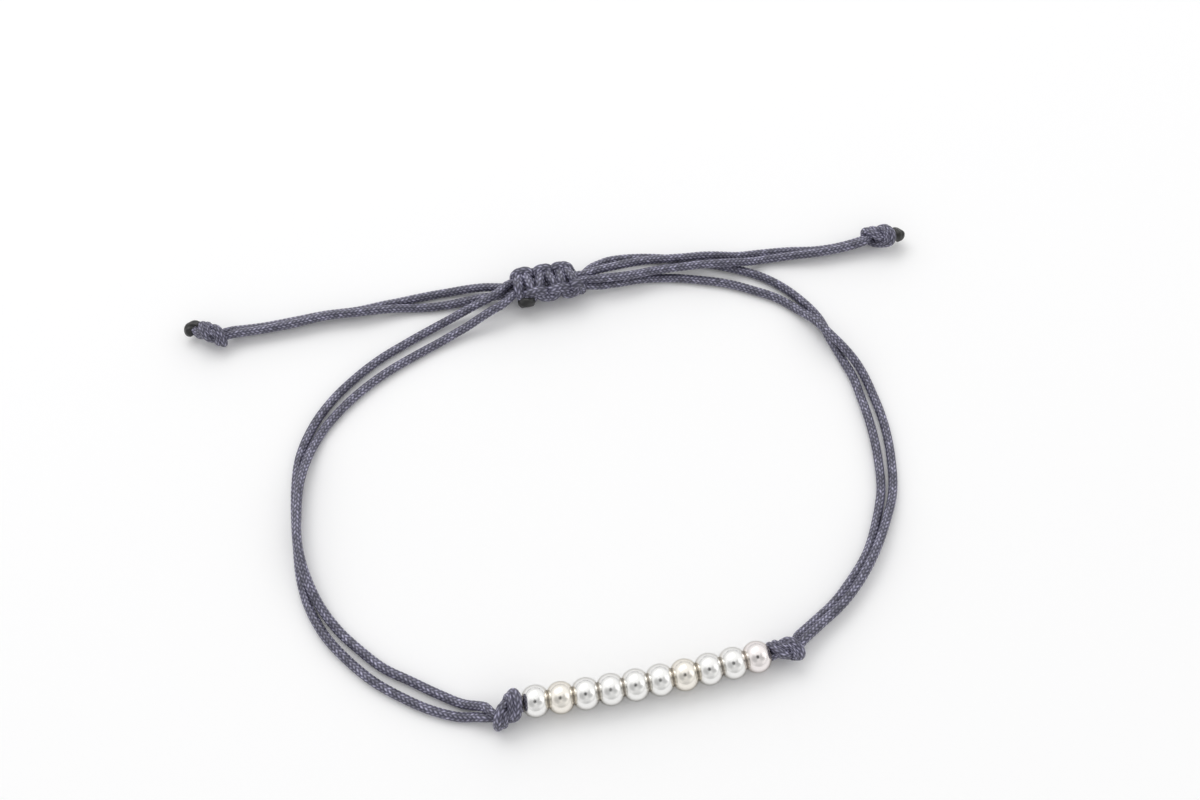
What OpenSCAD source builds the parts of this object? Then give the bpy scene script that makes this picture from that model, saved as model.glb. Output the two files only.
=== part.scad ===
// Macrame bracelet: ten round beads on a doubled braided cord, an overhand knot each side of them,
// a knotted sliding closure at the back and two tails that end in overhand knots.
// It lies on the plane z = 0, beads to the front (-Y) and closure to the back (+Y).

/* [Cord] */
// Diameter of the braided cord
cord_d = 0.95; // [0.8:0.05:0.95]
// Diameter of each of the four strands that the closure squeezes
core_d = 0.66; // [0.64:0.01:0.66]
// Diameter of the cord inside the beads
threaded_d = 0.7; // [0.6:0.02:0.72]

/* [Beads] */
// Diameter of a bead
bead_d = 3; // [2.8:0.1:3]
// Length of a bead along the cord
bead_l = 2.3; // [2.1:0.05:2.3]
// Distance from one bead to the next
bead_pitch = 2.33; // [2.32:0.01:2.34]
// Bore of a bead
bead_bore = 1.5; // [1.46:0.02:1.6]
// Radius of the outline's arc from the middle of a bead to its flat end
bead_arc = 1.32; // [1.3:0.02:1.4]

/* [Knots] */
// Diameter of the two cords pulled tight together in an overhand knot
pair_d = 1; // [0.9:0.05:1.05]
// Diameter of the cord wrapped round the closure
wrap_d = 0.75; // [0.72:0.01:0.75]
// Length of the closure
closure_l = 7.9; // [7.6:0.1:8.2]
// Height of the bumps on the two sides of the closure
closure_bump = 0.3; // [0:0.05:0.4]
// How far each two neighbouring crossings of the closure lean together
closure_lean = 0.1; // [0:0.02:0.12]

/* [Hidden] */

bead_count = 10;
// The bead row is a gentle arc: its radius, its middle, and its turn from the X axis
row_r = 157;
row_mid = [-0.2, -23.6, 0];
row_turn = -1;
row_step = bead_pitch / row_r * 180 / PI;

tube_sides = 8;
up = [0, 0, 1];
cord_r = cord_d / 2;
core_r = core_d / 2;

closure_mid = [-0.5, 21.4, 0];
closure_turn = -2;
closure_r = core_d / 2 * (1 + sqrt(2)) + wrap_d / 2 + 0.05;
closure_z = closure_r + wrap_d / 2;
closure_turns = 5.75;
closure_first_angle = -90;
rings_a_turn = 14;

// Overhand knot, in diameters of its tube: the half from one end to the middle. The other half is
// this one turned half round about the Y axis.
overhand_half = [
    [-1.4, -0.2, 0.2], [-0.9, -0.1, 0.3], [-0.4, 0.1, 0.4], [0.2, 0.6, 0.4], [0.7, 0.9, 0],
    [0.9, 0.8, -0.8], [0.8, 0.1, -1.3], [0.4, -0.6, -1.1], [0.1, -0.9, -0.4]
];

// Routes of the two pairs of strands. Columns: x and y of the middle of the pair, height of the
// lower strand over the plane, half the distance between the two strands, and the turn of the
// pair about its own line: at 0 they lie side by side, at 90 one is on top of the other.
// From the left bead knot round the left of the loop, through the closure, to the right tail knot
left_pair = [
    [-15.15, -23.1, 0.7, 0.5, -25], [-16, -22.7, 0.3, 0.5, -15], [-17.4, -22.2, 0, 0.62, 0],
    [-19.7, -20.9, 0, 0.8, 0], [-22.2, -19.05, 0, 0.85, 0], [-24.5, -17.15, 0, 0.76, 0],
    [-26.45, -14.85, 0, 0.72, 0], [-28.2, -12.3, 0, 0.64, 0], [-29.45, -9.5, 0, 0.52, -20],
    [-30.2, -6.1, 0, 0.5, -55], [-30.35, -2.6, 0, 0.49, -80], [-30.1, 0.6, 0, 0.49, -72],
    [-29.55, 4, 0, 0.5, -55], [-28.6, 7, 0, 0.52, -22], [-27.1, 9.6, 0, 0.57, 0],
    [-24.8, 12.1, 0, 0.72, 0], [-22.2, 14.1, 0, 0.8, 0], [-19.3, 15.8, 0, 0.88, 0],
    [-16.2, 17.15, 0, 0.92, 0], [-13.1, 18.3, 0.1, 0.95, 0], [-11.5, 18.8, 0.32, 0.92, 0],
    [-10.1, 19.24, 0.52, 0.91, 0], [-8.6, 19.65, 0.95, 0.83, 0], [-7.2, 20, 1.32, 0.75, 0],
    [-6.1, 20.3, 1.56, 0.66, 0], [-5.2, 20.85, 1.58, 0.47, 0], [-4.3, 21.5, 1.46, 0.34, 0],
    [3.7, 21.25, 1.46, 0.34, 0], [4.5, 21.2, 1.52, 0.52, 0], [5.6, 21.2, 1.52, 0.62, 0],
    [7.2, 21.2, 1.45, 0.72, 0], [9.1, 21.3, 1.25, 0.78, 0], [11, 21.35, 1.1, 0.73, 0],
    [12.8, 21.2, 1.05, 0.67, -4], [14.6, 21, 1.02, 0.66, -10], [16.5, 20.75, 1.05, 0.7, -16],
    [18.4, 20.5, 0.8, 0.8, -25], [20.6, 20.45, 0.2, 0.72, -28], [23.2, 20.5, 0, 0.49, -12],
    [26.1, 20.2, 0, 0.49, -24], [29.5, 19.7, 0, 0.49, -42], [32.5, 19.65, 0.05, 0.49, -46],
    [34.9, 19.75, 0.35, 0.49, -46]
];
// From the right bead knot round the right of the loop, through the closure, to the left tail knot
right_pair = [
    [14.58, -22.6, 0.45, 0.5, -45], [16, -21.8, 0.2, 0.5, -46], [17.2, -21.1, 0, 0.5, -47],
    [19, -20.1, 0, 0.5, -46], [21.65, -18.05, 0, 0.5, -42], [24, -15.65, 0, 0.5, -50],
    [26.1, -12.6, 0, 0.5, -32], [27.8, -9.4, 0, 0.58, -6], [28.7, -6, 0, 0.66, 0],
    [29.2, -2.2, 0, 0.7, 0], [29.2, 1.2, 0, 0.66, 0], [28.95, 4.1, 0, 0.54, -18],
    [28.15, 6.75, 0, 0.53, -65], [27.4, 8.95, 0, 0.53, -100], [26.75, 11.25, 0, 0.53, -140],
    [25.55, 13.5, 0, 0.6, -175], [23.9, 15.6, 0, 0.78, -180], [21.9, 17.25, 0, 1, -180],
    [19, 18.95, 0, 1.03, -180], [16.3, 20.1, 0, 1.12, -180], [13.6, 21.05, 0, 1.2, -180],
    [11.6, 21.6, 0, 1.32, -180], [9.8, 21.87, 0.12, 1.4, -180], [8, 21.88, 0.35, 1.5, -180],
    [6.2, 21.8, 0.48, 1.46, -180], [5, 21.6, 0.55, 1.1, -180], [4.3, 21.4, 0.68, 0.65, -180],
    [3.7, 21.25, 0.78, 0.34, -180], [-4.7, 21.5, 0.78, 0.34, -180], [-5.3, 21.8, 0.66, 0.48, -180],
    [-6.2, 22.05, 0.5, 0.58, -180], [-7.4, 22.3, 0.38, 0.66, -180], [-9, 22.5, 0.18, 0.74, -180],
    [-11, 22.6, 0, 0.78, -180], [-13, 22.65, 0, 0.76, -180], [-14.8, 22.75, 0, 0.63, -178],
    [-16.4, 22.82, 0, 0.51, -165], [-18.2, 22.86, 0, 0.5, -150], [-21, 22.85, 0, 0.49, -132],
    [-24.5, 23.1, 0, 0.49, -130], [-28, 23, 0, 0.49, -138], [-31.5, 23, 0, 0.49, -138],
    [-34.6, 23.1, 0.2, 0.49, -145]
];

// Middles of the melted tips: x, y, z and radius
left_tip = [
    [-37.7, 22.9, 1.2, 0.45], [-38.3, 23.3, 1.1, 0.6], [-38.8, 23.9, 1, 0.62], [-39.2, 24.5, 1, 0.5],
    [-39.4, 25, 1.1, 0.25]
];
right_tip = [
    [37.9, 19.5, 1.4, 0.5], [38.4, 19.4, 1.4, 0.65], [39, 19.2, 1.3, 0.65], [39.5, 19, 1.2, 0.4]
];
wrap_tip = [
    [-4, 19.3, 1.2, 0.25], [-3.6, 19.2, 1.25, 0.38], [-3.1, 19.15, 1.3, 0.42],
    [-2.6, 19.15, 1.3, 0.36], [-2.2, 19.2, 1.3, 0.22]
];

function unit(v) = v / norm(v);

function spot(row) = [row.x, row.y, row.z];

// Direction of a line of points at one of them, from its two neighbours
function heading(points, i) = unit(points[min(i + 1, len(points) - 1)] - points[max(i - 1, 0)]);

// The part of a vector that is square to a direction
function square_to(v, direction) = unit(v - (v * direction) * direction);

// Side directions carried along a line of points without twist
function sides_along(points, side, i = 0) =
    i == len(points) ? [] :
    let (next = square_to(side, heading(points, i)))
    concat([next], sides_along(points, next, i + 1));

// Smooth curve through the points, with the given number of steps between each two
function smooth(points, steps) = [
    for (i = [0 : len(points) - 2], k = [0 : steps - 1])
        let (
            u = k / steps,
            a = points[max(i - 1, 0)],
            b = points[i],
            c = points[i + 1],
            d = points[min(i + 2, len(points) - 1)]
        )
        b + u * (c - a) / 2 + u * u * (a - 2.5 * b + 2 * c - d / 2)
            + u * u * u * (1.5 * b - 1.5 * c + (d - a) / 2),
    points[len(points) - 1]
];

// One strand of a pair: side 1 is the strand on the left of the direction of travel, -1 the other
function strand_route(rows, side) = [
    for (i = [0 : len(rows) - 1])
        let (
            row = rows[i],
            ahead = rows[min(i + 1, len(rows) - 1)],
            behind = rows[max(i - 1, 0)],
            along = unit([ahead.x - behind.x, ahead.y - behind.y, 0]),
            half = row[3],
            turn = row[4]
        )
        [row.x, row.y, row.z + cord_r + half * abs(sin(turn))]
            + side * half * (cos(turn) * cross(up, along) + sin(turn) * up)
];

// How far a row is out of the closure: 0 in it, 1 from 1 mm outside it
function out_of_closure(row) =
    row.y < 15 ? 1 : min(1, max(0, abs(row.x - closure_mid.x) - closure_l / 2 - 0.4));

function strand_radii(rows) = [for (row = rows) core_r + (cord_r - core_r) * out_of_closure(row)];

function overhand_route() = smooth(concat(
    overhand_half,
    [for (i = [len(overhand_half) - 1 : -1 : 0])
        let (p = overhand_half[i]) [-p.x, p.y, -p.z]]
), 2) * pair_d;

// The wrapping cord: turns round the X axis, from the right end to the left, that bulge on one
// side of every second turn and on the other side of the turns between, and lean in twos
function wrap_route() =
    let (
        reach = closure_l - wrap_d - closure_lean,
        last = closure_turns * rings_a_turn
    )
    [for (k = [0 : last])
        let (
            angle = closure_first_angle + k * 360 / rings_a_turn,
            far = max(0, cos(angle)),
            near = max(0, -cos(angle)),
            radius = closure_r + closure_bump
                * (max(0, cos(angle / 2)) * far + max(0, sin(angle / 2)) * near),
            lean = closure_lean * (cos(angle / 2) * far + sin(angle / 2) * near)
        )
        [reach * (0.5 - k / last) + lean, radius * cos(angle), radius * sin(angle)]];

module place_closure() {
    translate([closure_mid.x, closure_mid.y, closure_z]) rotate([0, 0, closure_turn]) children();
}

// Place along the bead row, counted in beads from its middle, with X along the cord
module place_on_row(beads_along) {
    translate([row_mid.x, row_mid.y, bead_d / 2])
        rotate([0, 0, row_turn])
        translate([0, row_r, 0])
        rotate([0, 0, beads_along * row_step])
        translate([0, -row_r, 0])
        children();
}

// Closed tube through the points, with a radius at each, and rings of tube_sides corners
module tube(points, radii) {
    n = len(points);
    sides = sides_along(points, abs(heading(points, 0).z) > 0.9 ? [1, 0, 0] : up);
    corners = [
        for (i = [0 : n - 1], k = [0 : tube_sides - 1])
            let (
                a = (k + 0.5) * 360 / tube_sides,
                other = cross(heading(points, i), sides[i])
            )
            points[i] + radii[i] * (cos(a) * sides[i] + sin(a) * other)
    ];
    walls = [
        for (i = [0 : n - 2], k = [0 : tube_sides - 1])
            let (
                a = i * tube_sides + k,
                b = i * tube_sides + (k + 1) % tube_sides
            )
            each [[a, a + tube_sides, b], [b, a + tube_sides, b + tube_sides]]
    ];
    first_end = [for (k = [0 : tube_sides - 1]) k];
    last_end = [for (k = [tube_sides - 1 : -1 : 0]) (n - 1) * tube_sides + k];
    polyhedron(corners, concat(walls, [first_end, last_end]), convexity = 8);
}

module bead() {
    color([0.86, 0.86, 0.88])
        rotate([0, 90, 0])
        rotate_extrude($fn = 64)
        intersection() {
            translate([bead_d / 2 - bead_arc, 0]) circle(r = bead_arc, $fn = 96);
            translate([bead_bore / 2, -bead_l / 2]) square([bead_d, bead_l]);
        }
}

module bead_number(number) {
    place_on_row(number - (bead_count + 1) / 2) bead();
}

// One of the two thin strands through all the bores; side 1 is the back one
module bead_cord(side) {
    reach = bead_count / 2 + 0.05;
    rings = 12;
    route = [
        for (k = [0 : rings])
            let (angle = (2 * k / rings - 1) * reach * row_step)
            [row_r * sin(angle), row_r * (1 - cos(angle)), 0]
                + side * (threaded_d / 2 + 0.01) * [-sin(angle), cos(angle), 0]
    ];
    color([0.33, 0.33, 0.42])
        place_on_row(0)
        tube(route, [for (p = route) threaded_d / 2]);
}

module strand(rows, side) {
    color([0.4, 0.4, 0.5]) tube(strand_route(rows, side), strand_radii(rows));
}

// Overhand knot of two cords drawn as one tube: its middle, the turn of its cord from the X axis,
// and its roll about that cord
module overhand_knot(middle, turn, roll) {
    route = overhand_route();
    color([0.37, 0.37, 0.47])
        translate(middle)
        rotate([0, 0, turn])
        rotate([roll, 0, 0])
        tube(route, [for (p = route) pair_d * 0.47]);
}

module sliding_knot() {
    route = wrap_route();
    color([0.42, 0.42, 0.52])
        place_closure()
        tube(route, [for (p = route) wrap_d / 2]);
}

module melted(rows) {
    color([0.08, 0.08, 0.1]) tube([for (row = rows) spot(row)], [for (row = rows) row[3]]);
}

for (number = [1 : bead_count])
    bead_number(number);
bead_cord(-1);  // bead_cord_front
bead_cord(1);  // bead_cord_back
overhand_knot([-13.4, -23, 1.45], 2, 90);  // left_bead_knot
overhand_knot([13, -23.3, 1.68], 12, 40);  // right_bead_knot
strand(left_pair, 1);  // left_loop_outer_strand
strand(left_pair, -1);  // left_loop_inner_strand
strand(right_pair, -1);  // right_loop_outer_strand
strand(right_pair, 1);  // right_loop_inner_strand
sliding_knot();
melted(wrap_tip);  // sliding_knot_melted_end
overhand_knot([-36.2, 22.9, 1.5], -3, 90);  // left_tail_knot
overhand_knot([36.4, 19.8, 1.7], -2, 40);  // right_tail_knot
melted(left_tip);  // left_melted_tip
melted(right_tip);  // right_melted_tip
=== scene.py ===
"""Macrame bracelet: ten polished silver beads on a doubled waxed braid, with an overhand knot each
side of them, a sliding closure of square knots at the back and two knotted, melted tails.

Lengths in this file are millimetres unless a name or comment says otherwise, and MM turns them into
metres where a mesh, the camera or a light is made.
"""

import math

import bpy
import numpy as np
from mathutils import Matrix, Vector


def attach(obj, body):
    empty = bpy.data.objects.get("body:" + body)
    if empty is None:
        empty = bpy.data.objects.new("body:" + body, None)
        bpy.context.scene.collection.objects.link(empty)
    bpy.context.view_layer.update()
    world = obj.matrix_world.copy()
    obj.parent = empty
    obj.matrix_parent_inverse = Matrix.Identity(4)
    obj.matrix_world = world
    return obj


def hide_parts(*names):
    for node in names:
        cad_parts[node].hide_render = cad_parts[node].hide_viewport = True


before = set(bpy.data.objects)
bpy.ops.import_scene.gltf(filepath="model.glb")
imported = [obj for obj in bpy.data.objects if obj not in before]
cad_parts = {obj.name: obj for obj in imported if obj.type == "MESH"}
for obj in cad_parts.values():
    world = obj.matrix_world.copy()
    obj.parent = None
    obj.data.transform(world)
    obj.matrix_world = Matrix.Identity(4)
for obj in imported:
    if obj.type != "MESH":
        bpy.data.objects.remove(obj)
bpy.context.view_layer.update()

MM = 0.001

# The cord

CORD_R = 0.475
CORE_R = 0.42  # radius of a strand where the closure squeezes it
SLIMMER = 0.02  # how much less than its CAD radius a cord is drawn, under its flecks
THREADED_R = 0.36  # radius of a cord inside the beads
WRAP_R = 0.54  # radius of the closure's own cord

COLUMNS = 10  # columns of flecks round the cord
FLECK = 0.47  # length along a column from one fleck to the next
FLECK_WIDE = 0.15  # half a fleck's width
FLECK_LONG = 0.34  # half its length
FLECK_LEAN = 25  # degrees from the cord's line
RELIEF = 0.08  # how far a fleck stands over the gaps beside it
LEVEL = 0.85  # height of the braid, from 0 to 1, that lies at the cord's drawn radius
AROUND = 40  # points round a cord
ALONG = 0.06  # distance between its rings

# Routes of the two pairs of strands: x and y of the pair's middle, height of the lower strand over
# the floor, half the distance between the two, and the pair's turn about its own line in degrees.
LEFT_PAIR = np.array([
    [-15.15, -23.1, 0.7, 0.5, -25], [-16, -22.7, 0.3, 0.5, -15], [-17.4, -22.2, 0, 0.62, 0],
    [-19.7, -20.9, 0, 0.8, 0], [-22.2, -19.05, 0, 0.85, 0], [-24.5, -17.15, 0, 0.76, 0],
    [-26.45, -14.85, 0, 0.72, 0], [-28.2, -12.3, 0, 0.64, 0], [-29.45, -9.5, 0, 0.52, -20],
    [-30.2, -6.1, 0, 0.5, -55], [-30.35, -2.6, 0, 0.49, -80], [-30.1, 0.6, 0, 0.49, -72],
    [-29.55, 4, 0, 0.5, -55], [-28.6, 7, 0, 0.52, -22], [-27.1, 9.6, 0, 0.57, 0],
    [-24.8, 12.1, 0, 0.72, 0], [-22.2, 14.1, 0, 0.8, 0], [-19.3, 15.8, 0, 0.88, 0],
    [-16.2, 17.15, 0, 0.92, 0], [-13.1, 18.3, 0.1, 0.95, 0], [-11.5, 18.8, 0.32, 0.92, 0],
    [-10.1, 19.24, 0.52, 0.91, 0], [-8.6, 19.65, 0.95, 0.83, 0], [-7.2, 20, 1.32, 0.75, 0],
    [-6.1, 20.3, 1.56, 0.66, 0], [-5.2, 20.85, 1.58, 0.47, 0], [-4.3, 21.5, 1.46, 0.34, 0],
    [3.7, 21.25, 1.46, 0.34, 0], [4.5, 21.2, 1.52, 0.52, 0], [5.6, 21.2, 1.52, 0.62, 0],
    [7.2, 21.2, 1.45, 0.72, 0], [9.1, 21.3, 1.25, 0.78, 0], [11, 21.35, 1.1, 0.73, 0],
    [12.8, 21.2, 1.05, 0.67, -4], [14.6, 21, 1.02, 0.66, -10], [16.5, 20.75, 1.05, 0.7, -16],
    [18.4, 20.5, 0.8, 0.8, -25], [20.6, 20.45, 0.2, 0.72, -28], [23.2, 20.5, 0, 0.49, -12],
    [26.1, 20.2, 0, 0.49, -24], [29.5, 19.7, 0, 0.49, -42], [32.5, 19.65, 0.05, 0.49, -46],
    [34.9, 19.75, 0.35, 0.49, -46]
])
RIGHT_PAIR = np.array([
    [14.58, -22.6, 0.45, 0.5, -45], [16, -21.8, 0.2, 0.5, -46], [17.2, -21.1, 0, 0.5, -47],
    [19, -20.1, 0, 0.5, -46], [21.65, -18.05, 0, 0.5, -42], [24, -15.65, 0, 0.5, -50],
    [26.1, -12.6, 0, 0.5, -32], [27.8, -9.4, 0, 0.58, -6], [28.7, -6, 0, 0.66, 0],
    [29.2, -2.2, 0, 0.7, 0], [29.2, 1.2, 0, 0.66, 0], [28.95, 4.1, 0, 0.54, -18],
    [28.15, 6.75, 0, 0.53, -65], [27.4, 8.95, 0, 0.53, -100], [26.75, 11.25, 0, 0.53, -140],
    [25.55, 13.5, 0, 0.6, -175], [23.9, 15.6, 0, 0.78, -180], [21.9, 17.25, 0, 1, -180],
    [19, 18.95, 0, 1.03, -180], [16.3, 20.1, 0, 1.12, -180], [13.6, 21.05, 0, 1.2, -180],
    [11.6, 21.6, 0, 1.32, -180], [9.8, 21.87, 0.12, 1.4, -180], [8, 21.88, 0.35, 1.5, -180],
    [6.2, 21.8, 0.48, 1.46, -180], [5, 21.6, 0.55, 1.1, -180], [4.3, 21.4, 0.68, 0.65, -180],
    [3.7, 21.25, 0.78, 0.34, -180], [-4.7, 21.5, 0.78, 0.34, -180], [-5.3, 21.8, 0.66, 0.48, -180],
    [-6.2, 22.05, 0.5, 0.58, -180], [-7.4, 22.3, 0.38, 0.66, -180], [-9, 22.5, 0.18, 0.74, -180],
    [-11, 22.6, 0, 0.78, -180], [-13, 22.65, 0, 0.76, -180], [-14.8, 22.75, 0, 0.63, -178],
    [-16.4, 22.82, 0, 0.51, -165], [-18.2, 22.86, 0, 0.5, -150], [-21, 22.85, 0, 0.49, -132],
    [-24.5, 23.1, 0, 0.49, -130], [-28, 23, 0, 0.49, -138], [-31.5, 23, 0, 0.49, -138],
    [-34.6, 23.1, 0.2, 0.49, -145]
])

# Round the ends of the closure the strands spread more than their routes say: at these x, half the
# distance between them grows by these amounts. That holds where y is over BACK_Y.
LEFT_FAN = ([-7, -6, -5.2, -4.5, -3.8, -3.2], [0, 0.1, 0.25, 0.35, 0.25, 0])
RIGHT_FAN = ([2.8, 3.4, 3.9, 4.4, 5, 5.8], [0, 0.35, 0.5, 0.4, 0.2, 0])
BACK_Y = 15

# The row of beads, an arc round a far centre

BEADS = 10
BEAD_R = 1.5
BEAD_LENGTH = 2.32
BEAD_PITCH = 2.33
BEAD_BORE_R = 0.75
BEAD_ARC = 1.32  # radius of the arc of a bead's side
BEAD_LIP = 0.06  # radius of the rounding at the ends of its bore
BEAD_AROUND = 80  # points round a bead
BEAD_ARC_POINTS = 49
BEAD_LIP_POINTS = 6
BEAD_BORE_POINTS = 7
END_SHADE_FROM = 0.7  # distance from a bead's middle at which its painted shade towards the ends starts
ROW_R = 157
ROW_MID = np.array([-0.2, -23.6, BEAD_R])
ROW_TURN = math.radians(-1)
ROW_CENTRE = ROW_MID + np.array([-math.sin(ROW_TURN), math.cos(ROW_TURN), 0]) * ROW_R

# Middle, turn from the X axis and roll of each overhand knot, in degrees, 1 or -1 for its hand, and
# how much it is squeezed along the cord and across it
KNOTS = {
    "left_bead_knot": ([-13.4, -23.35, 1.6], 2, 138, 1, 0.84, 1.04),
    "right_bead_knot": ([13.05, -23.35, 1.5], 20, 78, -1, 0.8, 0.88),
    "left_tail_knot": ([-36.25, 22.95, 1.5], -3, 112, -1, 0.78, 0.86),
    "right_tail_knot": ([36.25, 19.8, 1.5], 6, 62, -1, 0.88, 0.9),
}
KNOT_REACH = 1.7  # half the length of an overhand knot
KNOT_AROUND = 3.2  # distance from its middle that holds all of it
OPEN_LOOP = 1.7  # size of an overhand knot before it is pulled tight
MATE_GAP = 0.34  # distance between its two cords then
TIED_LENGTHS = [22, 21]  # lengths of the two when it is tight, with their ends
# Half the distance between cords pressed together in an overhand knot, for the cord outside and
# the one inside it, and the radii drawn
PRESSED = [0.42, 0.25]
DRAWN = [0.5, 0.37]

# The closure

CLOSURE_MID = np.array([-0.5, 21.4, 1.57])
CLOSURE_TURN = math.radians(-2)
CLOSURE_HALF = 4.3  # distance from its middle at which a strand starts to swell again
SQUARE_KNOTS = 3
SQUARE_PITCH = 2.3  # from one square knot to the next
WRAP_GAP = 0.6  # distance between cords pressed together in the closure
CORE_GAP = 0.64  # distance of its own cord from a strand inside it
CORE_SPREAD = 0.34  # half the distance between neighbouring strands inside it

# The last bit of the two cords of each tail, from the knot to the middle of its melted tip
LEFT_STUB = np.array([[-37.4, 23, 1.1], [-37.7, 23.4, 1.15], [-38, 23.8, 1.15], [-38.3, 24.1, 1.1]])
RIGHT_STUB = np.array([[37.4, 19.7, 1.4], [37.8, 19.65, 1.4], [38.3, 19.5, 1.4]])
STUB_R = 0.42

# Middles of the melted tips and their radii
LEFT_TIP = np.array([
    [-37.35, 24.35, 1.35, 0.35], [-37.9, 24.5, 1.3, 0.52], [-38.45, 24.35, 1.2, 0.66],
    [-38.75, 23.95, 1.05, 0.6], [-38.75, 23.5, 1, 0.4],
])
RIGHT_TIP = np.array([
    [37.6, 19.9, 1.6, 0.5], [38.1, 19.7, 1.5, 0.72], [38.65, 19.35, 1.3, 0.68],
    [39, 19.05, 1.15, 0.45],
])
WRAP_TIP = np.array([
    [-4.1, 19.85, 1.5, 0.35], [-3.7, 19.7, 1.65, 0.56], [-3.15, 19.55, 1.75, 0.66],
    [-2.6, 19.6, 1.75, 0.56], [-2.2, 19.75, 1.7, 0.32],
])
TIP_RINGS = 34
TIP_AROUND = 32  # points in each of those rings


def lengths_along(points):
    """Distance along a line of points, from its start to each of them. A line's first three columns
    are x, y and z, and a fourth is the cord's radius."""
    steps = np.linalg.norm(np.diff(points[:, :3], axis=0), axis=1)
    return np.r_[0, np.cumsum(steps)]


def through(knots, values, wanted):
    """Smooth curve through values at the knots, a cubic on each stretch. Its slope at a knot is
    that of the parabola through the knot and its neighbours, or of the straight line to its only
    neighbour."""
    slopes = np.gradient(values, knots, axis=0)
    i = np.clip(np.searchsorted(knots, wanted, side="right") - 1, 0, len(knots) - 2)
    gap = (knots[i + 1] - knots[i])[:, None]
    u = (wanted - knots[i])[:, None] / gap
    return (
        (1 + 2 * u) * (1 - u) ** 2 * values[i] + u * (1 - u) ** 2 * gap * slopes[i]
        + u * u * (3 - 2 * u) * values[i + 1] + u * u * (u - 1) * gap * slopes[i + 1]
    )


def evenly(points, step):
    """The same line with points a step apart."""
    along = lengths_along(points)
    wanted = np.linspace(0, along[-1], max(int(round(along[-1] / step)), 3) + 1)
    return through(along, points, wanted)


def softened(points, rounds):
    """Line whose inner points move half way to the middle of their neighbours, round by round."""
    points = points.copy()
    for _ in range(rounds):
        points[1:-1] = points[1:-1] / 2 + (points[2:] + points[:-2]) / 4
    return points


def backwards(lines):
    """The same lines from their ends to their starts."""
    return [line[::-1] for line in lines]


def strand_line(rows, fan, side):
    """Centre line of one strand of a pair: the pair's middle, moved half the gap to one side along
    the level direction square to the route, turned up about the route by the pair's turn. The fan
    widens the gap. The longest stretch, inside the closure, is kept straight by two rows more on
    it, and the strand is thinner there."""
    long = np.argmax(np.diff(lengths_along(rows[:, :2])))
    straight = rows[long] + (rows[long + 1] - rows[long]) * np.array([[0.1], [0.9]])
    rows = np.insert(rows, long + 1, straight, axis=0)
    knots = lengths_along(rows[:, :2])
    fine = through(knots, rows, np.arange(0, knots[-1], 0.1))
    ahead = np.gradient(fine[:, :2], axis=0)
    ahead /= np.linalg.norm(ahead, axis=1)[:, None]
    half = fine[:, 3:4] + np.interp(fine[:, :1], *fan) * (fine[:, 1:2] > BACK_Y)
    turn = np.radians(fine[:, 4:5])
    level = np.c_[-ahead[:, 1], ahead[:, 0], np.zeros(len(fine))]
    middle = np.c_[fine[:, :2], fine[:, 2] + CORD_R + (half * abs(np.sin(turn)))[:, 0]]
    line = middle + side * half * (np.cos(turn) * level + np.sin(turn) * np.array([0, 0, 1]))
    beyond = np.clip(abs(line[:, 0] - CLOSURE_MID[0]) - CLOSURE_HALF, 0, 1)
    free = np.where(line[:, 1] < BACK_Y, 1, beyond)
    return np.c_[line, CORE_R + (CORD_R - SLIMMER - CORE_R) * free]


def row_line(side):
    """Centre line of a cord through the beads, from the right to the left: an arc beside the row's
    own, off it by the cord's radius and a hair, so that its mate lies next to it."""
    angle = np.linspace(BEADS / 2, -BEADS / 2, 60) * BEAD_PITCH / ROW_R + ROW_TURN
    out = np.c_[np.sin(angle), -np.cos(angle), 0 * angle]
    line = ROW_CENTRE + out * (ROW_R - side * (THREADED_R + 0.01))
    return np.c_[line, np.full(len(line), THREADED_R)]


def close_pairs(points, pairs, size, owner, spacing, near):
    """Pairs of points that may touch: on two cords, or further along one cord than near times
    their reaches together, and less than 1.8 of those apart. Returns their numbers and reaches."""
    low, high = pairs
    gaps = size[low] + size[high]
    kept = (owner[low] != owner[high]) | ((high - low) * spacing[owner[low]] > near * gaps)
    kept &= np.linalg.norm(points[high] - points[low], axis=1) < 1.8 * gaps
    return low[kept], high[kept], gaps[kept]


def push_apart(points, free, touching):
    """Moves points apart that are nearer than their reaches together, each by 1.3 times the mean of
    its pushes."""
    low, high, gaps = touching
    between = points[high] - points[low]
    distance = np.linalg.norm(between, axis=1)
    hit = distance < gaps
    low, high = low[hit], high[hit]
    weight = np.maximum(free[low] + free[high], 1)
    push = between[hit] / np.maximum(distance[hit], 1e-9)[:, None]
    push *= ((gaps[hit] - distance[hit]) / weight)[:, None]
    move = np.zeros_like(points)
    hits = np.ones(len(points))
    np.add.at(move, low, -push * free[low][:, None])
    np.add.at(move, high, push * free[high][:, None])
    np.add.at(hits, low, 1)
    np.add.at(hits, high, 1)
    points += move / np.maximum(hits - 1, 1)[:, None] * 1.3


def push_off_core(points, core, core_gap):
    """Moves points straight out from cords along X at the core's (y, z) to the gap from them."""
    for y, z in core:
        out = points[:, 1:] - np.array([y, z])
        far = np.linalg.norm(out, axis=1)
        inside = far < core_gap
        points[inside, 1:] += (
            out[inside] / np.maximum(far[inside], 1e-9)[:, None]
            * (core_gap - far[inside])[:, None]
        )


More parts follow.
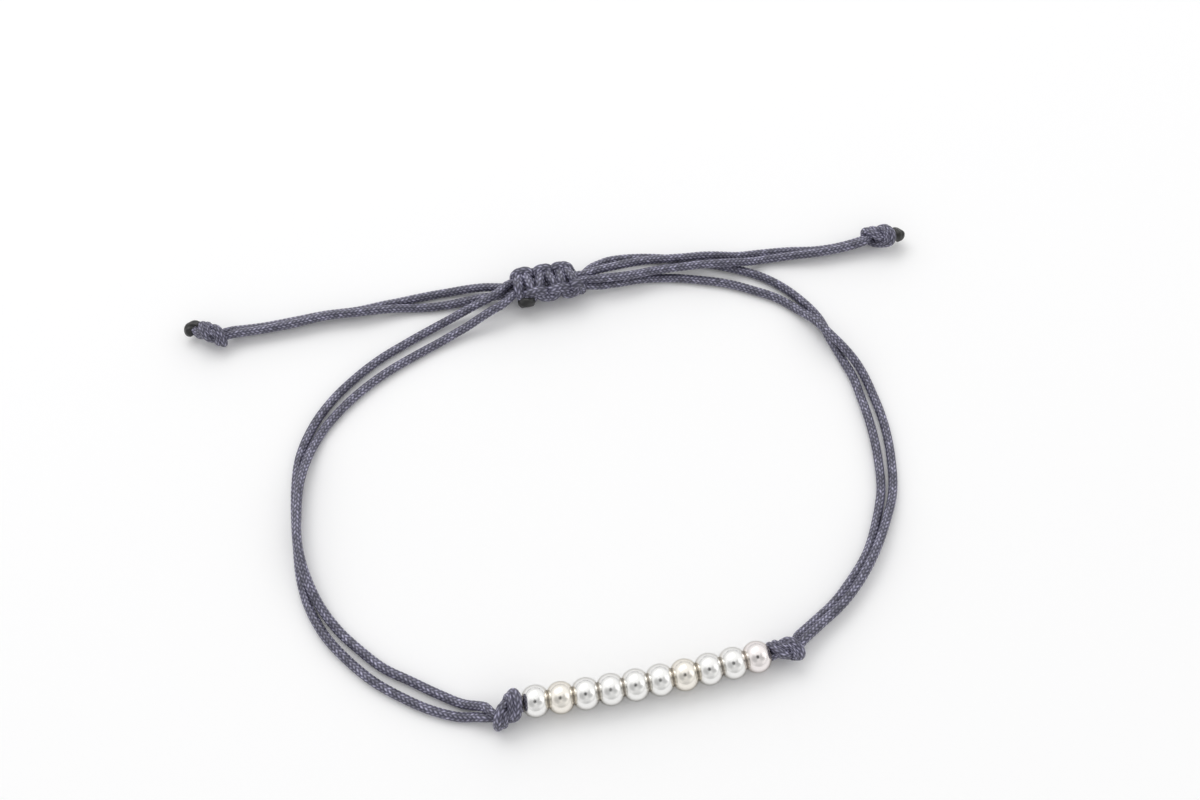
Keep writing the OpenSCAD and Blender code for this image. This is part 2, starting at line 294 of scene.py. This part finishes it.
def even_out(line, free, spacing, stiff):
    """Moves the points of one cord to the spacing, first every even pair and then every odd one,
    and each a part of the way to the middle of its neighbours."""
    for odd in (0, 1):
        head, tail = line[odd:-1:2], line[odd + 1::2]
        pairs = min(len(head), len(tail))
        head, tail = head[:pairs], tail[:pairs]
        head_free, tail_free = free[odd:-1:2][:pairs], free[odd + 1::2][:pairs]
        link = tail - head
        span = np.linalg.norm(link, axis=1)
        fix = (span - spacing) / np.maximum(span * np.maximum(head_free + tail_free, 1), 1e-9)
        head += link * (fix * head_free)[:, None]
        tail -= link * (fix * tail_free)[:, None]
    line[1:-1] += ((line[2:] + line[:-2]) / 2 - line[1:-1]) * (stiff * free[1:-1])[:, None]


def pull_tight(lines, reach, final, steps, near=1.9, core=(), core_gap=0.0, hold=0.0, stiff=0.2,
               pinned=2):
    """Pulls cords tight. Each step shortens them a little towards their final lengths, pushes
    touching points apart and off the core, evens out the spacing and the bends, and draws points
    back towards where they began by the hold. The pinned points at each end stay."""
    count = [len(line) for line in lines]
    owner = np.repeat(np.arange(len(lines)), count)
    size = np.repeat(np.array(reach, float), count)
    first = np.r_[0, np.cumsum(count)]
    parts = [slice(first[k], first[k + 1]) for k in range(len(lines))]
    points = np.vstack(lines)
    home = points.copy()
    free = np.ones(len(points))
    for part in parts:
        free[part.start:part.start + pinned] = 0
        free[part.stop - pinned:part.stop] = 0
    start = np.array([lengths_along(line)[-1] for line in lines])
    pairs = np.triu_indices(len(points), 1)
    rounds, search_every = 6, 6  # corrections in a step, and steps between searches for pairs
    for step in range(steps):
        # the last three tenths of the steps are at the final lengths
        share = min(1, (step + 1) / (steps * 0.7))
        spacing = (start + (np.array(final) - start) * share) / (np.array(count) - 1)
        if step % search_every == 0:
            touching = close_pairs(points, pairs, size, owner, spacing, near)
        for _ in range(rounds):
            push_apart(points, free, touching)
            push_off_core(points, core, core_gap)
            for k, part in enumerate(parts):
                even_out(points[part], free[part], spacing[k], stiff)
        points += (home - points) * (hold * free)[:, None]
    return [points[part] for part in parts]


def across_line(points, first):
    """Unit vectors along a line and two square to it, carried along without twist."""
    ahead = np.gradient(points, axis=0)
    ahead /= np.linalg.norm(ahead, axis=1)[:, None]
    side = np.array(first, float)
    sides = np.empty_like(points)
    for i, direction in enumerate(ahead):
        side = side - (side @ direction) * direction
        side /= np.linalg.norm(side)
        sides[i] = side
    return ahead, sides, np.cross(ahead, sides)


def tied_overhand():
    """Two cords tied together in an overhand knot along X, pulled tight. The first begins as an
    open trefoil, (sin t + 2 sin 2t, cos t - 2 cos 2t, -sin 3t), with long straight ends, and its
    mate lies beside it, nearer the knot's middle."""
    # steps along the line, those in each straight end, and those at each end that don't count for
    # where the knot's middle is
    steps, straight, outside = 130, 20, 30
    t = np.linspace(2.3, -2.3, 60)
    loop = OPEN_LOOP * np.c_[
        np.sin(t) + 2 * np.sin(2 * t), np.cos(t) - 2 * np.cos(2 * t), -np.sin(3 * t)
    ]
    path = np.vstack([
        [[-8, 0, 0], [-6, -0.3, -0.2]], loop, [[6, -0.3, 0.2], [8, 0, 0]],
    ])
    path = softened(evenly(path, lengths_along(path)[-1] / steps), rounds=30)
    ahead, _, _ = across_line(path, (0, 1, 0))
    inward = path[straight:-straight].mean(0) - path
    inward -= (inward * ahead).sum(1)[:, None] * ahead
    inward = softened(inward / np.linalg.norm(inward, axis=1)[:, None], rounds=20)
    pair = [path, path + inward * MATE_GAP]
    pair = pull_tight(pair, reach=PRESSED, final=TIED_LENGTHS, steps=260)
    middle = pair[0][outside:-outside].mean(0) * np.array([0, 1, 1])
    return [line - middle for line in pair]


def turned(points, turn, roll):
    """Points rolled about X, then turned about Z, both in degrees."""
    about_x = Matrix.Rotation(math.radians(roll), 3, "X")
    about_z = Matrix.Rotation(math.radians(turn), 3, "Z")
    return points @ np.array(about_z @ about_x).T


def placed_knot(name, tied):
    """The two cords of the named knot in their place, cut to its length and squeezed to its
    size."""
    middle, turn, roll, hand, along, across = KNOTS[name]
    placed = []
    for line, radius in zip(tied, DRAWN):
        line = line[abs(line[:, 0]) < KNOT_REACH + 0.3] * np.array([along, across, across * hand])
        line = turned(line, turn, roll) + np.array(middle)
        placed.append(np.c_[line, np.full(len(line), radius * (along + across) / 2)])
    return placed


def stub(points):
    """Two cords one above the other along a short line from the knot, nearer together at its
    end."""
    made = []
    for side in (-1, 1):
        rise = side * np.linspace(0.35, 0.15, len(points))
        made.append(np.c_[points[:, :2], points[:, 2] + rise, np.full(len(points), STUB_R)])
    return made


def matched(ends, lines):
    """Two lines, in the order in which their starts lie nearest the two ends."""
    apart = [[np.linalg.norm(end[:3] - line[0, :3]) for line in lines] for end in ends]
    return lines if apart[0][0] + apart[1][1] <= apart[0][1] + apart[1][0] else lines[::-1]


def joined(before, after, trim=0.5):
    """Two pairs of lines made one pair, with the ends that meet trimmed and bridged."""
    made = []
    for one, other in zip(before, after):
        along = lengths_along(one)
        made.append(np.vstack([one[along < along[-1] - trim], other[lengths_along(other) > trim]]))
    return made


def closure_line():
    """Centre line of the one cord of the closure. In the closure's own frame, with the four strands
    along X through its middle, one half of it zigzags over the top in bars and turns wide at each
    side. The other half passes underneath and rises at each side in an arch that ties two
    neighbouring bars together."""
    pitch = SQUARE_PITCH
    knots = [pitch * (k - (SQUARE_KNOTS - 1) / 2) for k in range(SQUARE_KNOTS)]
    top, low = 1.0, -0.97
    turn = [(-0.65, 1.35, 0.1), (-0.25, 1.55, -0.25), (0.25, 1.55, -0.25), (0.65, 1.35, 0.1)]
    arch = [(0.65, 1.05, -0.3), (0.55, 1.2, 0.6), (0.28, 1.1, 1.3), (-0.28, 1.1, 1.3),
            (-0.55, 1.2, 0.6), (-0.65, 1.05, -0.3)]
    near_arch = [(0.65, 1.0, -0.3), (0.55, 1.05, 0.6), (0.28, 0.75, 1.35), (-0.28, 0.75, 1.35),
                 (-0.55, 1.05, 0.6), (-0.65, 1.0, -0.3)]
    mirror = np.array([1, -1, 1])
    route = [(knots[0] - 0.95, 1.1, -1.1), (knots[0] - 0.85, 1.3, -0.5),
             (knots[0] - 0.5, 1.2, 0.25)]
    for k, x in enumerate(knots):
        route += [(x - 0.3, 0.95, 0.75), (x - 0.45, 0.4, top), (x - 0.7, -0.4, top),
                  (x - 0.85, -0.95, 0.75)]
        route += [tuple(np.array([x, 0, 0]) + mirror * point) for point in turn]
        route += [(x + 0.85, -0.95, 0.75), (x + 0.7, -0.4, top), (x + 0.45, 0.4, top),
                  (x + 0.3, 0.95, 0.75)]
        if k < SQUARE_KNOTS - 1:
            route += [tuple(np.array([x + pitch / 2, 0, 0]) + point) for point in turn]
    end = knots[-1] + pitch / 2
    route += [(end - 0.65, 1.35, 0.15), (end - 0.2, 1.35, -0.5), (end + 0.1, 0.8, -0.9),
              (end + 0.35, 0, low), (end + 0.5, -0.8, -0.85)]
    for x in knots[::-1]:
        between = x + pitch / 2
        route += [tuple(np.array([between, 0, 0]) + mirror * point) for point in near_arch]
        route += [(between - 0.65, -0.7, -0.85), (between - 0.55, 0, low),
                  (between - 0.45, 0.7, -0.85)]
        route += [tuple(np.array([x, 0, 0]) + point) for point in arch]
        route += [(x - 0.65, 0.7, -0.85), (x - 0.55, 0, low), (x - 0.5, -0.7, -0.85)]
    route += [(knots[0] - 0.35, -1.15, -0.95), (knots[0], -1.5, -1.05)]
    route = np.array(route)
    along = lengths_along(route)
    route = evenly(through(along, route, np.linspace(0, along[-1], 600)), 0.19)
    core = [(y, z) for z in (-CORE_SPREAD, CORE_SPREAD) for y in (-CORE_SPREAD, CORE_SPREAD)]
    line, = pull_tight([route], reach=[WRAP_GAP / 2], final=[lengths_along(route)[-1] * 0.96],
                       steps=220, near=2.2, core=core, core_gap=CORE_GAP, hold=0.01, stiff=0.12,
                       pinned=1)
    # the square knots aren't quite alike: at these places along the closure their far sides are
    # shifted along it by the first four amounts, and their near sides by the other four
    places = [-2.3, 0, 2.3, 3.4]
    far_side = np.clip(0.5 + line[:, 1] / 2.6, 0, 1)
    line[:, 0] += far_side * np.interp(line[:, 0], places, [0.15, 0.2, -0.35, -0.2])
    line[:, 0] += (1 - far_side) * np.interp(line[:, 0], places, [0, 0.27, 0.5, 0.1])
    cos, sin = math.cos(CLOSURE_TURN), math.sin(CLOSURE_TURN)
    line = line @ np.array([[cos, sin, 0], [-sin, cos, 0], [0, 0, 1]])
    # as pulled tight it reaches further to the right than to the left
    middle = CLOSURE_MID - np.array([0.45, 0, 0])
    return np.c_[line + middle, np.full(len(line), WRAP_R)]


def braid(turn, along):
    """Height of a braid over the gaps between its flecks, from 0 to 1, the place across and along
    the fleck on top, and that fleck's tone, 0 to 1. Columns of ovals run along the cord. An oval
    leans one way in one column and the other way in the next, and lies half a fleck ahead of its
    neighbours."""
    wide = 2 * math.pi * CORD_R / COLUMNS
    lean = math.radians(FLECK_LEAN)
    best = np.full(turn.shape, -9.0)
    across, ahead, tone = np.zeros((3, *turn.shape))
    for column_step in (-1, 0, 1):
        column = np.round(COLUMNS * turn) + column_step
        odd = column % 2
        x = (COLUMNS * turn - column) * wide
        for fleck_step in (0, 1):
            fleck = np.floor(along / FLECK - odd / 2) + fleck_step
            y = along - (fleck + odd / 2) * FLECK
            sign = 1 - 2 * odd
            p = x * math.cos(lean) - sign * y * math.sin(lean)
            q = sign * x * math.sin(lean) + y * math.cos(lean)
            height = 1 - (p / FLECK_WIDE) ** 2 - (q / FLECK_LONG) ** 2
            on_top = height > best
            best = np.where(on_top, height, best)
            across = np.where(on_top, p, across)
            ahead = np.where(on_top, q, ahead)
            # the fraction of a large multiple of a sine scatters the tones
            scattered = np.sin((column % COLUMNS) * 12.9898 + fleck * 78.233) * 43758.5453
            tone = np.where(on_top, scattered % 1, tone)
    return np.sqrt(np.clip(best, 0, 1)), across, ahead, tone


def rings_along(points, reach, first, angle):
    """Rings of a tube: at each point of a line, the point plus the reach times the cosine of the
    angle to one side, counted from the first direction, and times its sine to the other."""
    _, side, other = across_line(points, first)
    return points[:, None] + reach[..., None] * (
        np.cos(angle)[..., None] * side[:, None] + np.sin(angle)[..., None] * other[:, None]
    )


def braided(line, first):
    """Braided tube along a line: rings of AROUND points, each as far out as the cord's radius plus
    the height of the braid there, and none below the floor. Returns the rings and the values at
    their points."""
    turns, alongs = np.meshgrid(np.arange(AROUND) / AROUND, lengths_along(line))
    height, across, ahead, tone = braid(turns, alongs)
    reach = line[:, 3:] + RELIEF * (height - LEVEL)
    rings = rings_along(line[:, :3], reach, first, 2 * np.pi * turns)
    rings[..., 2] = np.maximum(rings[..., 2], 0)
    return rings, {"height": height, "across": across, "ahead": ahead, "tone": tone}


def make_mesh(name, corners, faces, values=None, smooth=True):
    """Object at the origin with the corners, faces and named values at the corners."""
    mesh = bpy.data.meshes.new(name)
    mesh.from_pydata((np.asarray(corners) * MM).tolist(), [], faces)
    for key, value in (values or {}).items():
        mesh.attributes.new(key, "FLOAT", "POINT").data.foreach_set(
            "value", np.ascontiguousarray(value, np.float32)
        )
    if smooth:
        # the caps at the ends of a tube, which have more than four corners, stay flat
        mesh.polygons.foreach_set("use_smooth", [len(face) <= 4 for face in faces])
    made = bpy.data.objects.new(name, mesh)
    bpy.context.collection.objects.link(made)
    return made


def tube_piece(name, tubes):
    """One object with a closed tube for each set of rings and values: four-cornered faces between
    each ring and the next, and a flat cap at each end."""
    corners, faces, values, count = [], [], {}, 0
    for rings, found in tubes:
        number, around = rings.shape[:2]
        here = np.arange(number - 1)[:, None] * around + np.arange(around)
        there = np.arange(number - 1)[:, None] * around + np.roll(np.arange(around), -1)
        walls = np.stack([here, there, there + around, here + around], -1).reshape(-1, 4)
        caps = [np.arange(around)[::-1], np.arange((number - 1) * around, number * around)]
        faces += (walls + count).tolist() + [(cap + count).tolist() for cap in caps]
        corners.append(rings.reshape(-1, 3))
        for key, value in found.items():
            values.setdefault(key, []).append(value.ravel())
        count += number * around
    values = {key: np.concatenate(parts) for key, parts in values.items()}
    return make_mesh(name, np.vstack(corners), faces, values)


def melted_lump(name, rows):
    """Lump round a line of centres and radii, closed at both ends. Its radius falls off as a circle
    does near the ends, and a low wave round it makes the skin uneven."""
    along = lengths_along(rows)
    fine = through(along, rows, np.linspace(0, along[-1], TIP_RINGS))
    ends = np.linspace(-1, 1, TIP_RINGS)[:, None]
    round_off = np.sqrt(np.clip(1 - np.clip((abs(ends) - 0.55) / 0.45, 0, 1) ** 2, 0, 1))
    angle = np.linspace(0, 2 * np.pi, TIP_AROUND, endpoint=False)[None]
    wave = 1 + 0.1 * np.sin(2 * angle + 3 * ends) + 0.06 * np.sin(5 * angle - 7 * ends)
    reach = fine[:, 3:] * np.maximum(round_off, 0.02) * wave
    return tube_piece(name, [(rings_along(fine[:, :3], reach, (0, 0, 1), angle), {})])


def bead_outline():
    """Half outline of a bead, as (along, radius): round the arc of the side, over a rounded lip,
    back through the bore and over the other lip."""
    half = BEAD_LENGTH / 2
    edge = math.asin(min(half / BEAD_ARC, 1))
    arc = np.linspace(-edge, edge, BEAD_ARC_POINTS)
    outer = np.c_[BEAD_ARC * np.sin(arc), BEAD_R - BEAD_ARC + BEAD_ARC * np.cos(arc)]
    quarter = np.linspace(0, math.pi / 2, BEAD_LIP_POINTS)
    lip = np.c_[np.cos(quarter), 1 - np.sin(quarter)] * BEAD_LIP
    lip += np.array([half - BEAD_LIP, BEAD_BORE_R])
    bore = np.linspace(half - BEAD_LIP, BEAD_LIP - half, BEAD_BORE_POINTS)
    bore = np.c_[bore, np.full(BEAD_BORE_POINTS, BEAD_BORE_R)]
    return np.vstack([outer, lip, bore[1:-1], lip[::-1] * np.array([-1, 1])])


def bead(number):
    """Bead at its place in the row: each point (along, radius) of the outline becomes a ring
    (along, radius cos a, radius sin a), which is turned and moved to the place on the row's arc."""
    outline = bead_outline()
    angle = np.linspace(0, 2 * np.pi, BEAD_AROUND, endpoint=False)
    along = np.repeat(outline[:, :1], BEAD_AROUND, 1)
    corners = np.stack(
        [along, outline[:, 1:] * np.cos(angle), outline[:, 1:] * np.sin(angle)], -1
    ).reshape(-1, 3)
    place = (number - (BEADS + 1) / 2) * BEAD_PITCH / ROW_R + ROW_TURN
    cos, sin = math.cos(place), math.sin(place)
    corners = corners @ np.array([[cos, sin, 0], [-sin, cos, 0], [0, 0, 1]])
    corners += ROW_CENTRE + ROW_R * np.array([sin, -cos, 0])
    start = np.arange(len(outline))[:, None] * BEAD_AROUND
    here = start + np.arange(BEAD_AROUND)
    there = start + np.roll(np.arange(BEAD_AROUND), -1)
    faces = np.stack([here, np.roll(here, -1, 0), np.roll(there, -1, 0), there], -1)
    # how near a point is to either end of the bead, where painted shade between neighbouring beads
    # darkens it
    end = (abs(along.ravel()) - END_SHADE_FROM) / (BEAD_LENGTH / 2 - END_SHADE_FROM)
    end = np.clip(end, 0, 1)
    faces = faces.reshape(-1, 4).tolist()
    return make_mesh(f"silver_bead_{number}", corners, faces, {"end": end})


class Finish:
    """A material and short ways to add nodes to it."""

    def __init__(self, name):
        self.material = bpy.data.materials.new(name)
        self.material.use_nodes = True
        self.nodes = self.material.node_tree.nodes
        self.links = self.material.node_tree.links
        self.shader = self.nodes["Principled BSDF"]

    def add(self, kind, **values):
        """New node, with each value set as its property or else as its input of that name."""
        node = self.nodes.new("ShaderNode" + kind)
        for key, value in values.items():
            if hasattr(node, key):
                setattr(node, key, value)
            else:
                node.inputs[key.replace("_", " ")].default_value = value
        return node

    def value(self, name):
        """Output of the piece's own value of that name."""
        return self.add("Attribute", attribute_name=name).outputs["Fac"]

    def join(self, output, socket):
        """Links an output to an input."""
        self.links.new(output, socket)

    def times(self, value, factor):
        """Output of the value's output times a factor."""
        node = self.add("Math", operation="MULTIPLY")
        node.inputs[1].default_value = factor
        self.join(value, node.inputs[0])
        return node.outputs[0]

    def multiplied(self, one, other):
        """Output of two colours' outputs multiplied."""
        node = self.add("Mix", data_type="RGBA", blend_type="MULTIPLY")
        node.inputs[0].default_value = 1.0
        self.join(one, node.inputs[6])
        self.join(other, node.inputs[7])
        return node.outputs[2]

    def ramp(self, value, stops):
        """Colour for a value between 0 and 1 from stops of a position and a colour."""
        node = self.add("ValToRGB")
        self.join(value, node.inputs[0])
        elements = node.color_ramp.elements
        while len(elements) < len(stops):
            elements.new(0.5)
        for element, (position, colour) in zip(elements, stops):
            element.position = position
            element.color = (*colour, 1)
        return node.outputs["Color"]

    def noise(self, where, scale, detail):
        """Noise from 0 to 1 over a place."""
        node = self.add("TexNoise", Scale=scale, Detail=detail)
        self.join(where, node.inputs["Vector"])
        return node.outputs["Fac"]

    def bump(self, height, strength, distance):
        """Bump of the whole surface, its distance in metres."""
        node = self.add("Bump", Strength=strength, Distance=distance)
        self.join(height, node.inputs["Height"])
        self.join(node.outputs["Normal"], self.shader.inputs["Normal"])


def waxed_braid():
    """Blue-grey waxed cord: painted shade in the gaps between flecks and a painted highlight on the
    top of each fleck, flecks that differ in tone, patches a little lighter or darker, and fine
    fibres along each fleck."""
    finish = Finish("waxed_braid")
    # painted light: the colour falls to painted shade in the gaps and rises to a painted highlight
    # on each fleck's top
    colour = finish.ramp(finish.value("height"), [
        (0.0, (0.007, 0.007, 0.012)), (0.45, (0.036, 0.035, 0.057)),
        (0.82, (0.1, 0.096, 0.145)), (1.0, (0.33, 0.32, 0.42)),
    ])
    fleck = finish.ramp(finish.value("tone"), [
        (0.0, (0.62, 0.62, 0.64)), (0.6, (1.08, 1.08, 1.08)), (1.0, (1.75, 1.75, 1.72)),
    ])
    colour = finish.multiplied(colour, fleck)
    where = finish.add("TexCoord").outputs["Object"]
    patches = finish.ramp(finish.noise(where, 900.0, 2.0), [
        (0.3, (0.75, 0.75, 0.77)), (0.7, (1.2, 1.2, 1.2)),
    ])
    colour = finish.multiplied(colour, patches)
    finish.join(colour, finish.shader.inputs["Base Color"])
    fibres = finish.add("CombineXYZ")
    finish.join(finish.times(finish.value("across"), 30.0), fibres.inputs[0])
    finish.join(finish.times(finish.value("ahead"), 4.0), fibres.inputs[1])
    finish.bump(finish.noise(fibres.outputs[0], 1.0, 2.0), 0.5, 0.00003)
    finish.shader.inputs["Roughness"].default_value = 0.4
    finish.shader.inputs["Specular IOR Level"].default_value = 0.6
    return finish.material


def polished_silver(name, tint):
    """Polished silver with painted shade: darker low down towards the floor, and darker and warmer
    at the ends of a bead where it meets its neighbours, with a fine change of gloss."""
    finish = Finish(name)
    finish.shader.inputs["Metallic"].default_value = 1.0
    finish.shader.inputs["Specular Tint"].default_value = (0.5, 0.49, 0.47, 1)
    where = finish.add("TexCoord").outputs["Object"]
    apart = finish.add("SeparateXYZ")
    finish.join(where, apart.inputs[0])
    # painted shade: between these two heights in metres the darker silver low down gives way to the
    # plain silver
    low = finish.add("MapRange", From_Min=0.0007, From_Max=0.002)
    finish.join(apart.outputs["Z"], low.inputs["Value"])
    # painted shade on the lower part of a bead, towards the floor
    low_shade_tone = tuple(0.8 * value for value in tint)
    colour_with_low_shade = finish.ramp(low.outputs["Result"], [(0.0, low_shade_tone), (1.0, tint)])
    # painted shade between neighbouring beads, darker and warmer towards each end of a bead
    end_shade = finish.ramp(finish.value("end"), [
        (0.0, (1, 1, 1)), (0.72, (0.9, 0.885, 0.86)), (1.0, (0.5, 0.465, 0.42)),
    ])
    finish.join(finish.multiplied(colour_with_low_shade, end_shade), finish.shader.inputs["Base Color"])
    rough = finish.add("MapRange", To_Min=0.14, To_Max=0.26)
    finish.join(finish.noise(where, 1500.0, 3.0), rough.inputs["Value"])
    finish.join(rough.outputs["Result"], finish.shader.inputs["Roughness"])
    return finish.material


def melted_cord():
    """Black, glossy and lumpy cord that was melted with a flame."""
    finish = Finish("melted_cord")
    finish.shader.inputs["Base Color"].default_value = (0.012, 0.012, 0.012, 1)
    finish.shader.inputs["Roughness"].default_value = 0.35
    where = finish.add("TexCoord").outputs["Object"]
    finish.bump(finish.noise(where, 2500.0, 3.0), 0.4, 0.0001)
    return finish.material


def pale_floor():
    """Matt, nearly white floor."""
    finish = Finish("pale_floor")
    finish.shader.inputs["Base Color"].default_value = (0.97, 0.97, 0.972, 1)
    finish.shader.inputs["Roughness"].default_value = 0.9
    return finish.material


def complete(piece, node, material):
    """Gives a piece its material and slot and puts it in the place of its CAD node."""
    piece.data.materials.append(material)
    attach(piece, "root")
    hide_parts(node)
    return piece


cord_material = waxed_braid()
silver = polished_silver("polished_silver", (0.9, 0.895, 0.88))
warm_silver = polished_silver("warm_silver", (0.91, 0.87, 0.8))
rosy_silver = polished_silver("rosy_silver", (0.91, 0.86, 0.85))
melted_material = melted_cord()

# The two cords, each in one run: left tip and tail knot, right loop backwards, right bead knot,
# beads from right to left, left bead knot, left loop, right tail knot and tip

tied = tied_overhand()
knots = {name: placed_knot(name, tied) for name in KNOTS}
run = [
    knots["left_tail_knot"],
    [strand_line(RIGHT_PAIR, RIGHT_FAN, side)[::-1] for side in (-1, 1)],
    backwards(knots["right_bead_knot"]),
    [row_line(side) for side in (-1, 1)],
    backwards(knots["left_bead_knot"]),
    [strand_line(LEFT_PAIR, LEFT_FAN, side) for side in (1, -1)],
    knots["right_tail_knot"],
    stub(RIGHT_STUB),
]
cords = backwards(stub(LEFT_STUB))
for part in run:
    cords = joined(cords, matched([line[-1] for line in cords], part))
cords = [evenly(softened(evenly(line, 0.1), rounds=12), ALONG) for line in cords]
braids = [braided(line, (0, 0, 1)) for line in cords]


def knot_span(line, name):
    """First and last point of a line within the reach of the named knot."""
    middle, turn = KNOTS[name][:2]
    axis = np.array([math.cos(math.radians(turn)), math.sin(math.radians(turn)), 0])
    off = line[:, :3] - np.array(middle)
    inside = (abs(off @ axis) < KNOT_REACH) & (np.linalg.norm(off, axis=1) < KNOT_AROUND)
    found = np.nonzero(inside)[0]
    return found[0], found[-1]


spans = {name: [knot_span(line, name) for line in cords] for name in KNOTS}


def stretches(start, start_end, end, end_end):
    """Stretch of each cord from an end of one knot to an end of another, 0 for a knot's first end
    and 1 for its last: which cord, the stretch's first point and the one after its last."""
    return [(k, spans[start][k][start_end], spans[end][k][end_end] + 1) for k in range(2)]


def cord_piece(name, node, cut):
    """Piece made of stretches of the two braids, in the place of a CAD node."""
    tubes = [
        (braids[k][0][a:b], {key: value[a:b] for key, value in braids[k][1].items()})
        for k, a, b in cut
    ]
    return complete(tube_piece(name, tubes), node, cord_material)


for name in KNOTS:
    cut = stretches(name, 0, name, 1)
    if name == "left_tail_knot":
        cut = [(k, 0, b) for k, a, b in cut]
    if name == "right_tail_knot":
        cut = [(k, a, len(cords[k])) for k, a, b in cut]
    cord_piece(name + "_tied", name, cut)

# The strands of each side of the loop, with their lines from the bead knot to the tail knot. The
# outer one is the one on the outside of the loop beside the bead knot.
for side, start, end in (("right_loop", "left_tail_knot", "right_bead_knot"),
                         ("left_loop", "left_bead_knot", "right_tail_knot")):
    cut = stretches(start, 1, end, 0)
    lines = [cords[k][a:b] for k, a, b in cut]
    if side == "right_loop":
        lines = backwards(lines)
    for k, line in enumerate(lines):
        place = "outer" if line[0, 1] < lines[1 - k][0, 1] else "inner"
        piece = cord_piece(f"{side}_{place}_cord", f"{side}_{place}_strand", [cut[k]])

cut = stretches("right_bead_knot", 1, "left_bead_knot", 0)
middle_y = [cords[k][a + (b - a) // 2, 1] for k, a, b in cut]
for k in range(2):
    place = "front" if middle_y[k] < middle_y[1 - k] else "back"
    cord_piece(f"threaded_cord_{place}", f"bead_cord_{place}", [cut[k]])

closure_cord = braided(evenly(closure_line(), ALONG), (0, 1, 0))
complete(tube_piece("square_knots", [closure_cord]), "sliding_knot", cord_material)

for node, rows in (("left_melted_tip", LEFT_TIP), ("right_melted_tip", RIGHT_TIP),
                   ("sliding_knot_melted_end", WRAP_TIP)):
    lump = melted_lump(node.replace("melted", "molten"), rows)
    complete(lump, node, melted_material)

for number in range(1, BEADS + 1):
    material = {2: warm_silver, 7: warm_silver, 10: rosy_silver}.get(number, silver)
    complete(bead(number), f"bead_{number}", material)

# The floor, the light and the camera

FLOOR_HALF = 900
floor_corners = np.array([[-1, -1, 0], [1, -1, 0], [1, 1, 0], [-1, 1, 0]]) * FLOOR_HALF
floor = make_mesh("floor", floor_corners, [[0, 1, 2, 3]], smooth=False)
floor.data.materials.append(pale_floor())


def soft_light(name, place, size, watts):
    """Oblong light of a size at a place, turned to the bracelet."""
    light = bpy.data.lights.new(name, "AREA")
    light.shape = "RECTANGLE"
    light.size, light.size_y = size[0] * MM, size[1] * MM
    light.energy = watts
    made = bpy.data.objects.new(name, light)
    made.location = Vector(place) * MM
    made.rotation_euler = Vector(place).to_track_quat("Z", "Y").to_euler()
    bpy.context.collection.objects.link(made)


soft_light("window", (-110, 380, 500), (600, 300), 1.0)
soft_light("fill", (500, -100, 400), (300, 400), 0.2)

# Each a direction, the degrees from it at which a change of brightness starts and ends, and the
# brightness inside and outside: bright overhead and grey low down, a dark spot where the camera is,
# a grey patch on each side of it and a low one in front
STUDIO_FADES = (
    ((0, 0, 1), 62, 86, 1.05, 0.8),
    ((-0.1, -0.28, 0.95), 7, 18, 0.05, 1.0),
    ((-0.62, -0.36, 0.7), 6, 34, 0.5, 1.0),
    ((0.5, -0.36, 0.79), 6, 34, 0.5, 1.0),
    ((-0.1, -0.9, 0.42), 12, 40, 0.72, 1.0),
)


def studio():
    """World like a white studio. Its brightness is the product of the fades, each of which goes
    smoothly from inside to outside with the cosine of the angle from its direction."""
    world = bpy.data.worlds.new("studio")
    world.use_nodes = True
    nodes, links = world.node_tree.nodes, world.node_tree.links
    direction = nodes.new("ShaderNodeTexCoord").outputs["Generated"]
    brightness = None
    for aim, inner, outer, inside, outside in STUDIO_FADES:
        dot = nodes.new("ShaderNodeVectorMath")
        dot.operation = "DOT_PRODUCT"
        dot.inputs[1].default_value = Vector(aim).normalized()
        links.new(direction, dot.inputs[0])
        fade = nodes.new("ShaderNodeMapRange")
        fade.interpolation_type = "SMOOTHSTEP"
        links.new(dot.outputs["Value"], fade.inputs["Value"])
        fade.inputs["From Min"].default_value = math.cos(math.radians(outer))
        fade.inputs["From Max"].default_value = math.cos(math.radians(inner))
        fade.inputs["To Min"].default_value = outside
        fade.inputs["To Max"].default_value = inside
        if brightness is None:
            brightness = fade.outputs["Result"]
            continue
        product = nodes.new("ShaderNodeMath")
        product.operation = "MULTIPLY"
        links.new(brightness, product.inputs[0])
        links.new(fade.outputs["Result"], product.inputs[1])
        brightness = product.outputs[0]
    links.new(brightness, nodes["Background"].inputs["Strength"])
    nodes["Background"].inputs["Color"].default_value = (1, 1, 1, 1)
    return world


bpy.context.scene.world = studio()

CAMERA_AT = Vector((-12.43, -58.34, 123.53))
CAMERA_AIM = Vector((2.025, 6.879, 0.5))
FOCAL_PIXELS = 1350.17  # focal length in pixels of the image's width
IMAGE_WIDE = 1200  # pixels
SENSOR_WIDE = 36
camera_data = bpy.data.cameras.new("camera")
camera_data.sensor_width = SENSOR_WIDE
camera_data.lens = SENSOR_WIDE * FOCAL_PIXELS / IMAGE_WIDE
camera_data.clip_start, camera_data.clip_end = 5 * MM, 10000 * MM
camera = bpy.data.objects.new("camera", camera_data)
camera.location = CAMERA_AT * MM
camera.rotation_euler = (CAMERA_AT - CAMERA_AIM).to_track_quat("Z", "Y").to_euler()
bpy.context.collection.objects.link(camera)
bpy.context.scene.camera = camera
bpy.context.scene.view_settings.view_transform = "Standard"
